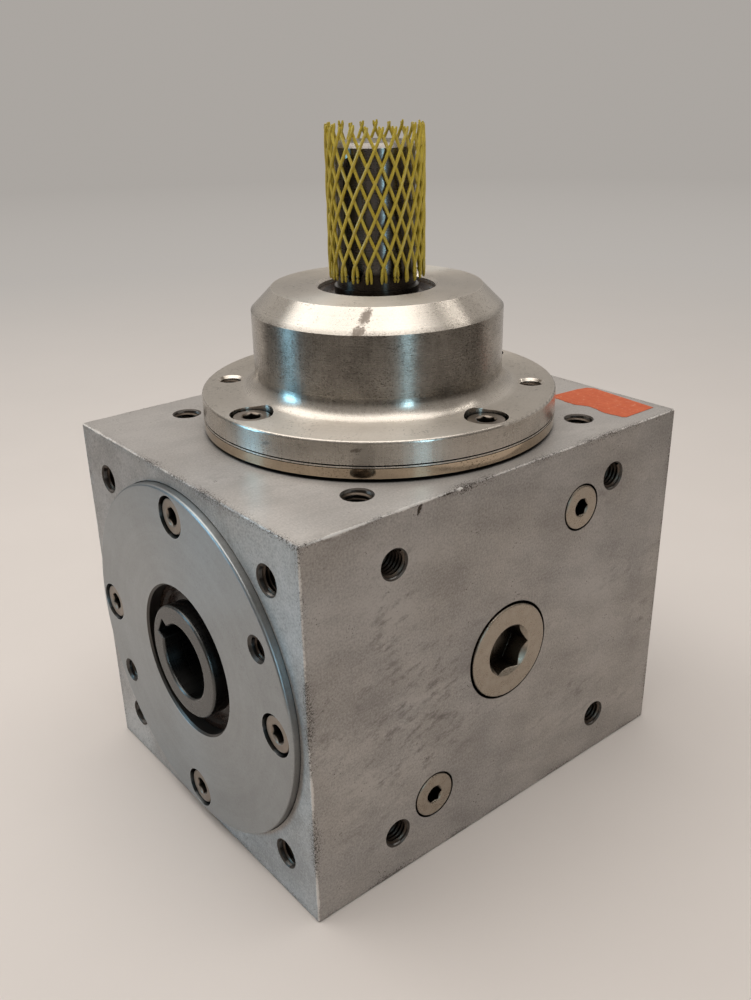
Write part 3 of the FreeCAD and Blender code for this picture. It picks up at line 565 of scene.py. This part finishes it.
def input_metal():
    """Ground input shaft, darker towards its foot."""
    made = Turned("ground_input", "Z", INPUT_AXIS, light=(0.30, 0.28, 0.26), dark=(0.19, 0.172, 0.155),
                  rough=0.28, pitted=0.5, stretch=0.8)
    ragged = made.total((made.travel, 1.0), (made.grain, 1.5))
    # Darker towards the shaft's foot
    made.coat(made.span(ragged, *SHAFT_FOOT_DARK_END, 0.0, 0.93), SHAFT_FOOT_DARK)
    return made.finish()


def race_metal(name, axis, centre):
    """Bright ground bearing races."""
    made = Turned(name, axis, centre, light=(0.62, 0.62, 0.63), dark=(0.50, 0.50, 0.51),
                  rough=0.16, pitted=0.1, stretch=0.75)
    return made.finish()


def grind_neck_foot(made):
    """Smooths and warms the ground band at the neck's foot."""
    ground = made.band(made.travel, NECK_GROUND_BAND, 0.1)
    made.roughness = made.times(made.roughness, made.span(ground, 0.0, 1.0, 1.0, 0.4))
    made.coat(ground, WARMED, "MULTIPLY")


def tarnish_and_shade_neck(made):
    """Lays a dull film, which is also painted shade, and dark spots on the neck's wall."""
    wall = made.band(made.travel, NECK_WALL_BAND, 1.5)
    cloudy = made.total((made.noise(0.07, detail=5.0, rough=0.65), 0.6),
                        (made.noise(1.5, detail=4.0, rough=0.8), 0.6))
    film_and_shade = made.span(made.span(cloudy, 0.46, 0.72), 0.0, 1.0, 0.15, 0.9)
    # Tarnish that is also painted shade: the wall darkened
    made.coat(made.times(wall, film_and_shade), shaded(made.dark, 0.52))
    squat = made.moved((1000, 1000, 1700))
    spots = made.larger(made.pits(0.8, 0.32, squat),
                        made.span(made.noise(1.2, detail=5.0, rough=0.8, vector=squat), 0.54, 0.6))
    patches = made.span(made.noise(0.08, detail=5.0, rough=0.65), 0.42, 0.56, 0.05, 0.8)
    made.coat(made.times(wall, made.times(spots, patches)), NECK_SPOTS)


def darken_grooves(made):
    """Blackens the scribed grooves round the neck's flange."""
    inside = made.span(made.radius, *NECK_GROOVE_MOUTH)
    # Darker inside the grooves
    made.coat(made.times(made.band(made.travel, NECK_GROOVES, 0.02), inside), GROOVE_DARK)


def scuff_places():
    """Rubbed marks on the neck's chamfer and on the flange's wall, laid in the surface there."""
    found = []
    for turn, radius, height, slope, lean, length, width in NECK_SCUFFS:
        turn, slope, lean = [math.radians(a) for a in (turn, slope, lean)]
        out = Vector((math.cos(turn), math.sin(turn), 0.0))
        normal = out * math.cos(slope) + UP * math.sin(slope)
        rise = UP * math.cos(slope) - out * math.sin(slope)
        along = rise * math.cos(lean) + UP.cross(out) * math.sin(lean)
        found.append((out * radius + UP * height, along, normal.cross(along), length, width))
    return found


def scuff_neck(made):
    """Rubs the neck dull and dark in a few places."""
    for place in scuff_places():
        rubbed = made.mark(*place)
        made.coat(made.times(rubbed, 0.75), RUBBED_METAL)
        made.roughness = made.work("ADD", made.roughness, made.times(rubbed, 0.2))


def neck_metal():
    """Turned neck: bright flange with a ground foot and darkened grooves, a wall tarnished and darkened as
    painted shade, and rubbed marks.
    """
    made = Turned("turned_neck", "Z", INPUT_AXIS, light=(0.64, 0.59, 0.53), dark=(0.49, 0.445, 0.39),
                  rough=0.27, pitted=0.8, stretch=0.8, faced=0.23)
    grind_neck_foot(made)
    tarnish_and_shade_neck(made)
    darken_grooves(made)
    scuff_neck(made)
    return made.finish()


def small_metal(name, light, dark, rough, dirt_and_shade, reach=5.0):
    """Small bare or plated metal: tarnish, worn edges also lightened as painted highlight, dirt and painted
    shade in hollows of a reach in millimetres.
    """
    made = Finish(name, Metallic=1.0)
    made.round_edges(0.5 * MM)
    cloud = made.noise(0.24, detail=5.0, rough=0.6)
    fine = made.noise(2.0, detail=3.0, rough=0.7)
    made.colour = made.blend(made.span(made.total((cloud, 0.6), (fine, 0.4)), 0.35, 0.65), dark, light)
    # Wear and painted highlight: edges lightened
    made.coat(made.times(made.edges(0.3 * MM), 0.6), shaded(light, 1.5))
    # Dirt and painted shade: darker deep in hollows
    made.coat(made.hollow_shade_and_dirt(reach * MM, 0.9, 0.45), dirt_and_shade)
    made.roughness = made.span(made.work("ADD", cloud, fine), 0.6, 1.4, rough - 0.08, rough + 0.12)
    made.bump(fine, depth=0.02 * MM, strength=0.4)
    return made.finish()


def soft_finish(name, light, dark, rough, grain, relief, **sockets):
    """Rubber, fibre or plastic: slightly uneven colour and a fine matt grain."""
    made = Finish(name, **sockets)
    cloud = made.noise(grain * 0.12, detail=5.0, rough=0.6)
    fine = made.noise(grain, detail=3.0, rough=0.6)
    made.colour = made.blend(made.span(cloud, 0.3, 0.7), dark, light)
    made.roughness = made.span(made.work("ADD", cloud, fine), 0.6, 1.4, rough - 0.1, rough + 0.12)
    made.bump(fine, depth=relief, strength=0.5)
    return made.finish()


def paper_finish(name):
    """Faded orange paper with fine stripes along its length and bare fibres where it is rubbed."""
    made = Finish(name, Specular_IOR_Level=0.25)
    stripes = made.noise(1.0, detail=3.0, rough=0.7, vector=made.moved((2600, 90, 1000)))
    cloud = made.noise(0.25, detail=5.0, rough=0.6)
    rubbed = made.span(made.noise(0.5, detail=6.0, rough=0.7), 0.56, 0.72)
    made.colour = made.blend(made.span(stripes, 0.3, 0.7), LABEL_DARK, LABEL_LIGHT)
    made.coat(made.span(cloud, 0.4, 0.75, 0.0, 0.5), LABEL_FADED)
    made.coat(made.times(rubbed, 0.4), LABEL_FIBRES)
    made.roughness = made.span(cloud, 0.3, 0.7, 0.6, 0.8)
    made.bump(stripes, depth=0.03 * MM, strength=0.6)
    return made.finish()


def dress(material, *names):
    """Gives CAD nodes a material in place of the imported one."""
    for name in names:
        mesh = nodes[name].data
        mesh.materials.clear()
        mesh.materials.append(material)


def new_object(name, data):
    """Puts an object with its data into the scene."""
    made = bpy.data.objects.new(name, data)
    bpy.context.scene.collection.objects.link(made)
    return made


def add_mesh(name, shape, material, body):
    """Turns a bmesh into a piece that rides on a body."""
    bmesh.ops.recalc_face_normals(shape, faces=shape.faces)
    mesh = bpy.data.meshes.new(name)
    shape.to_mesh(mesh)
    shape.free()
    mesh.materials.append(material)
    made = new_object(name, mesh)
    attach(made, body)
    return made


def smooth(made, angle):
    """Rounds the shading of a piece's gentle edges."""
    made.data.shade_smooth()
    made.data.set_sharp_from_angle(angle=math.radians(angle))


def skin(shape, rows):
    """Faces between successive rings of vertices, closed at both ends."""
    count = len(rows[0])
    for before, after in zip(rows, rows[1:]):
        for k in range(count):
            n = (k + 1) % count
            shape.faces.new((before[k], before[n], after[n], after[k]))
    shape.faces.new(rows[0])
    shape.faces.new(reversed(rows[-1]))


def thread_ridge(shape, mouth, inward, radius, pitch, depth):
    """Helical thread ridge on a hole's wall, a closed three-sided sweep."""
    side = inward.orthogonal().normalized()
    other = inward.cross(side)
    crest = radius - THREAD_HEIGHT * pitch
    root = radius + THREAD_SINK
    half = THREAD_HALF_FOOT * pitch
    rows = []
    for i in range(int((depth - 2 * half) / pitch * THREAD_STEPS) + 1):
        angle = 2 * math.pi * i / THREAD_STEPS
        out = side * math.cos(angle) + other * math.sin(angle)
        centre = mouth + inward * (half + pitch * i / THREAD_STEPS)
        corners = (centre + out * root - inward * half,
                   centre + out * crest,
                   centre + out * root + inward * half)
        rows.append([shape.verts.new(p) for p in corners])
    skin(shape, rows)


def mount_threads(shape):
    """Threads of the square of four holes on each face of the housing."""
    centre = Vector(OUTPUT_AXIS)
    half = (HOUSING_HIGH - HOUSING_LOW) / 2
    for i in range(3):
        normal = Vector([1.0 if i == k else 0.0 for k in range(3)])
        first = Vector([1.0 if (i + 1) % 3 == k else 0.0 for k in range(3)])
        second = normal.cross(first)
        for side, a, b in product(SIDES, repeat=3):
            place = centre + normal * side * (half[i] - MOUNT_MOUTH)
            place += first * a * MOUNT_REACH + second * b * MOUNT_REACH
            thread_ridge(shape, place, -normal * side, MOUNT_RADIUS, MOUNT_PITCH, MOUNT_DEPTH)


def cover_threads(shape):
    """Threads of the two jack holes in each cover."""
    centre = Vector(OUTPUT_AXIS)
    for turn, side in product((COVER_JACK_ANGLE, COVER_JACK_ANGLE + 180), SIDES):
        angle = math.radians(turn)
        reach = Vector((0, side * math.cos(angle), math.sin(angle))) * JACK_REACH
        place = centre + reach + Vector((side * (-COVER_LOW.x - JACK_MOUTH), 0, 0))
        thread_ridge(shape, place, Vector((-side, 0, 0)), JACK_RADIUS, JACK_PITCH, JACK_DEPTH)


def neck_threads(shape):
    """Threads of the two jack holes in the neck's flange."""
    for turn in (NECK_JACK_ANGLE, NECK_JACK_ANGLE + 180):
        angle = math.radians(turn)
        place = Vector((math.cos(angle) * JACK_REACH, math.sin(angle) * JACK_REACH, FLANGE_TOP - JACK_MOUTH))
        thread_ridge(shape, place, DOWN, JACK_RADIUS, JACK_PITCH, JACK_DEPTH)


def tapped_threads():
    """Threads of all the tapped holes on the case."""
    shape = bmesh.new()
    mount_threads(shape)
    cover_threads(shape)
    neck_threads(shape)
    return shape


def strand(shape, points, radius):
    """Round strand through points, narrower at its ends."""
    rows = []
    count = len(points)
    for i, point in enumerate(points):
        ahead = (points[min(i + 1, count - 1)] - points[max(i - 1, 0)]).normalized()
        side = ahead.cross(UP).normalized()
        other = ahead.cross(side)
        size = radius * (STRAND_TIP if i in (0, count - 1) else 1.0)
        ring = []
        for k in range(STRAND_SIDES):
            angle = 2 * math.pi * k / STRAND_SIDES
            ring.append(shape.verts.new(point + (side * math.cos(angle) + other * math.sin(angle)) * size))
        rows.append(ring)
    skin(shape, rows)


def strand_turn(rise):
    """Turn of a strand at a height, in strand spacings: half a spacing from crossing to crossing."""
    rows = (rise - FIRST_CROSSING) / CROSSING_PITCH
    inside = min(max(rows, 0.0), CROSSINGS)
    return 0.5 * inside + END_SPREAD * math.tanh(END_STEEPNESS * (rows - inside))


def strand_points(number, hand, layer, phase, low, high):
    """Points along one strand from its low end to its high end, swaying a little."""
    centre = (NET_LOW + NET_HIGH) / 2
    points = []
    for k in range(STRAND_POINTS):
        share = k / (STRAND_POINTS - 1)
        sway = NET_WOBBLE * math.sin(phase + NET_WOBBLE_TURN * share)
        rise = low + (high - low) * share
        turn = 2 * math.pi * (number + hand * strand_turn(rise)) / STRANDS + sway / layer
        angle = turn + NET_SQUEEZE * math.sin(2 * (turn - NET_SQUEEZE_TURN))
        radius = layer + sway / 2
        x = centre.x + radius * math.cos(angle)
        y = centre.y + radius * math.sin(angle)
        points.append(Vector((x, y, NET_LOW.z + rise)))
    return points


def net_strands():
    """Two layers of crossing strands in the place of the net's CAD tube."""
    shape = bmesh.new()
    chance = random.Random(NET_SEED)
    outer = (NET_HIGH.x - NET_LOW.x) / 2 - NET_WOBBLE / 2
    height = NET_HIGH.z - NET_LOW.z
    for hand in SIDES:
        layer = outer - STRAND_RADIUS - (0.0 if hand > 0 else STRAND_NESTING)
        for number in range(STRANDS):
            phase = chance.uniform(0, 2 * math.pi)
            low = chance.uniform(*LOW_ENDS) * MM
            high = height + chance.uniform(*HIGH_ENDS) * MM
            strand(shape, strand_points(number, hand, layer, phase, low, high), STRAND_RADIUS)
    return shape


def label_sheet():
    """Thin label on the housing's top, torn along its inner side."""
    shape = bmesh.new()
    chance = random.Random(LABEL_SEED)
    outline = [Vector(p) * MM for p in LABEL_CORNERS]
    near, far = outline[0], outline[-1]
    drift = 0.0
    for i in range(1, LABEL_STEPS):
        share = i / LABEL_STEPS
        drift = TEAR_KEPT * drift + TEAR_JITTER * chance.uniform(-1, 1)
        wave = TEAR_WIDTH * math.sin(TEAR_TURN * share + TEAR_START) * math.sin(math.pi * share)
        outline.append(far.lerp(near, share) + Vector((wave + drift, 0.0)))
    low = [shape.verts.new((p.x, p.y, HOUSING_TOP + LABEL_LIFT)) for p in outline]
    top = [shape.verts.new((p.x, p.y, HOUSING_TOP + LABEL_THICKNESS)) for p in outline]
    skin(shape, [low, top])
    bmesh.ops.triangulate(shape, faces=[f for f in shape.faces if len(f.verts) > 4])
    return shape


def soft_lamp(name, place, turn, size, energy, colour):
    """Rectangular studio lamp with its own turn."""
    lamp = bpy.data.lights.new(name, "AREA")
    lamp.shape = "RECTANGLE"
    lamp.size, lamp.size_y = size
    lamp.energy = energy
    lamp.color = colour
    made = new_object(name, lamp)
    made.location = place
    made.rotation_mode = "QUATERNION"
    made.rotation_quaternion = turn
    return made


def window(name, place, size, energy, colour):
    """Upright light aimed at the part's middle, which shows only in its reflections."""
    turn = (WINDOW_AIM - Vector(place)).to_track_quat("-Z", "Y")
    soft_lamp(name, place, turn, size, energy, colour).visible_diffuse = False


def floor_paper():
    """Pale paper that fades into the backdrop, and in reflections into a dark floor on the camera's side."""
    made = Finish("floor_paper", Specular_IOR_Level=0.15)
    cloud = made.noise(0.01, detail=4.0, rough=0.5)
    made.colour = made.blend(made.span(cloud, 0.3, 0.7), FLOOR_COLOUR, shaded(FLOOR_COLOUR, 0.97))
    made.roughness = made.span(cloud, 0.3, 0.7, 0.75, 0.85)
    made.finish()
    reach = made.vector("LENGTH", made.place)
    path = made.node("ShaderNodeLightPath").outputs
    seen = made.larger(path["Is Camera Ray"], path["Is Glossy Ray"])
    aim = made.vector("DOT_PRODUCT", made.vector("NORMALIZE", made.place, output="Vector"), FRONT_DIRECTION)
    front = made.times(made.span(reach, *FRONT_FLOOR_START), made.span(aim, *FRONT_FLOOR_TURN))
    front = made.times(front, path["Is Glossy Ray"])
    share = made.times(seen, made.larger(front, made.span(reach, *BACKDROP_START)))
    far = made.blend(made.span(reach, *BACKDROP_CHANGE), BACKDROP_NEAR, BACKDROP_FAR)
    glow = made.node("ShaderNodeEmission", Color=made.blend(front, far, FRONT_FLOOR))
    both = made.node("ShaderNodeMixShader")
    made.set(both.inputs[0], share)
    made.set(both.inputs[1], made.shader.outputs[0])
    made.set(both.inputs[2], glow.outputs[0])
    made.set(made.tree.nodes["Material Output"].inputs["Surface"], both.outputs[0])
    return made.material


def floor():
    """Large round floor just under the part."""
    shape = bmesh.new()
    bmesh.ops.create_circle(shape, cap_ends=True, segments=FLOOR_SEGMENTS, radius=FLOOR_RADIUS)
    mesh = bpy.data.meshes.new("floor")
    shape.to_mesh(mesh)
    shape.free()
    mesh.materials.append(floor_paper())
    ground = new_object("floor", mesh)
    ground.location.z = -FLOOR_DROP


def room():
    """Grey room that lights the part: bright behind and above it, dim on the camera's side."""
    world = bpy.data.worlds.new("room")
    bpy.context.scene.world = world
    world.use_nodes = True
    made = Graph(world.node_tree)
    towards = made.node("ShaderNodeTexCoord").outputs["Generated"]
    rise = made.span(made.vector("DOT_PRODUCT", towards, UP), *ROOM_RISE)
    behind = made.span(made.vector("DOT_PRODUCT", towards, BACK_DIRECTION), *ROOM_TURN)
    back = made.blend(rise, ROOM_BACK_LOW, ROOM_BACK_HIGH)
    front = made.blend(rise, ROOM_FRONT_LOW, ROOM_FRONT_HIGH)
    camera = made.node("ShaderNodeLightPath").outputs["Is Camera Ray"]
    sky = world.node_tree.nodes["Background"]
    made.set(sky.inputs["Color"], made.blend(camera, made.blend(behind, front, back), BACKDROP_FAR))


def lamps():
    """Wide ceiling lamp, and two windows and a tube that give the metal its bright streaks."""
    soft_lamp("ceiling_lamp", place=(-0.337, 0.301, 1.5), turn=Quaternion(UP, CEILING_TURN),
              size=(2.41, 1.18), energy=20.5, colour=CEILING_WHITE)
    window("left_window", place=(-1.13, 0.74, 0.34), size=(0.30, 0.6), energy=4.2, colour=LEFT_SKY)
    window("front_window", place=(-0.32, -1.25, 0.34), size=(0.15, 0.6), energy=2.3, colour=FRONT_SKY)
    window("right_tube", place=(0.93, -0.40, 1.25), size=(0.07, 0.5), energy=0.9, colour=TUBE_WHITE)


def photo_camera():
    """Camera at the photograph's place, angle and focal length."""
    data = bpy.data.cameras.new("photo_camera")
    data.sensor_width = CAMERA_SENSOR
    data.lens = CAMERA_LENS
    data.clip_start = CAMERA_CLIP
    made = new_object("photo_camera", data)
    back = -CAMERA_FORWARD.normalized()
    right = CAMERA_RIGHT.normalized()
    turn = Matrix((right, back.cross(right), back)).transposed()
    made.matrix_world = Matrix.Translation(CAMERA_PLACE) @ turn.to_4x4()
    bpy.context.scene.camera = made


# Large turned and milled pieces
dress(plate_metal("machined_housing", light=(0.545, 0.515, 0.49), dark=(0.32, 0.30, 0.285),
                  stain=(0.18, 0.16, 0.146), rough=0.44), "housing")
dress(cover_metal(), "left_cover", "right_cover")
dress(neck_metal(), "input_neck")
dress(output_metal(), "hollow_shaft", "wheel_spacer")
dress(input_metal(), "input_shaft", "cup_sleeve")

# Bearings
dress(race_metal("bearing_races", "X", OUTPUT_AXIS),
      "left_bearing_cup", "left_bearing_cone", "right_bearing_cup", "right_bearing_cone")
dress(race_metal("neck_races", "Z", INPUT_AXIS),
      "lower_pinion_cup", "lower_pinion_cone", "upper_pinion_cup", "upper_pinion_cone",
      "neck_bearing_outer_ring", "neck_bearing_inner_ring")
dress(small_metal("bearing_rollers", light=(0.66, 0.66, 0.67), dark=(0.55, 0.55, 0.56), rough=0.14,
                  dirt_and_shade=(0.2, 0.17, 0.12)),
      "left_bearing_rollers", "right_bearing_rollers", "lower_pinion_rollers", "upper_pinion_rollers",
      "neck_bearing_rollers")
dress(small_metal("cage_brass", light=(0.66, 0.50, 0.22), dark=(0.52, 0.37, 0.15), rough=0.3,
                  dirt_and_shade=(0.16, 0.10, 0.04)),
      "left_bearing_cage", "right_bearing_cage", "lower_pinion_cage", "upper_pinion_cage",
      "neck_bearing_cage")

# Gear wheel, screws, plugs, shims, seals and gaskets
dress(small_metal("gear_steel", light=(0.45, 0.44, 0.43), dark=(0.34, 0.33, 0.32), rough=0.28,
                  dirt_and_shade=(0.10, 0.08, 0.05)),
      "bevel_wheel", "wheel_key", "lock_nut", "lock_washer", "retaining_ring")
dress(small_metal("cap_screws", light=(0.34, 0.29, 0.245), dark=(0.20, 0.165, 0.135), rough=0.34,
                  dirt_and_shade=(0.02, 0.014, 0.01)),
      "left_cover_screws", "right_cover_screws", "neck_screws")
dress(small_metal("plug_nickel", light=(0.40, 0.348, 0.287), dark=(0.31, 0.262, 0.208), rough=0.28,
                  dirt_and_shade=(0.03, 0.022, 0.016), reach=11.0),
      "filler_plug", "level_plug", "drain_plug")
dress(small_metal("sealing_rings", light=(0.55, 0.53, 0.50), dark=(0.42, 0.40, 0.37), rough=0.4,
                  dirt_and_shade=(0.03, 0.025, 0.02)),
      "filler_plug_ring", "level_plug_ring", "drain_plug_ring")
dress(small_metal("shim_steel", light=(0.20, 0.18, 0.16), dark=(0.12, 0.11, 0.10), rough=0.45,
                  dirt_and_shade=(0.01, 0.008, 0.007)), "neck_shims")
dress(soft_finish("seal_rubber", light=(0.034, 0.017, 0.011), dark=(0.016, 0.009, 0.006), rough=0.24,
                  grain=3.0, relief=0.015 * MM, Specular_IOR_Level=0.15),
      "left_output_seal", "right_output_seal", "input_seal")
dress(soft_finish("gasket_fibre", light=(0.13, 0.11, 0.09), dark=(0.08, 0.07, 0.06), rough=0.8, grain=2.0,
                  relief=0.05 * MM),
      "left_cover_gasket", "right_cover_gasket")

# Pieces made here: threads, net strands and label
# Dark thread metal: rust, and painted shade inside the holes
thread_metal = small_metal("thread_metal", light=(0.14, 0.112, 0.09), dark=(0.06, 0.046, 0.036), rough=0.38,
                           dirt_and_shade=(0.008, 0.006, 0.005))
threads = add_mesh("tapped_threads", tapped_threads(), thread_metal, "case")
smooth(threads, THREAD_SMOOTH_ANGLE)
net_plastic = soft_finish("net_plastic", light=(0.66, 0.535, 0.075), dark=(0.52, 0.40, 0.035), rough=0.38,
                          grain=1.6, relief=0.03 * MM, Subsurface_Weight=0.15,
                          Subsurface_Radius=(0.0012, 0.0009, 0.0003))
net = add_mesh("net_strands", net_strands(), net_plastic, "net")
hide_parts("protective_net")
smooth(net, STRAND_SMOOTH_ANGLE)
dress(net_plastic, "protective_net")
add_mesh("packing_label", label_sheet(), paper_finish("label_paper"), "case")

# Studio
floor()
room()
lamps()
photo_camera()
bpy.context.scene.view_settings.view_transform = "Standard"
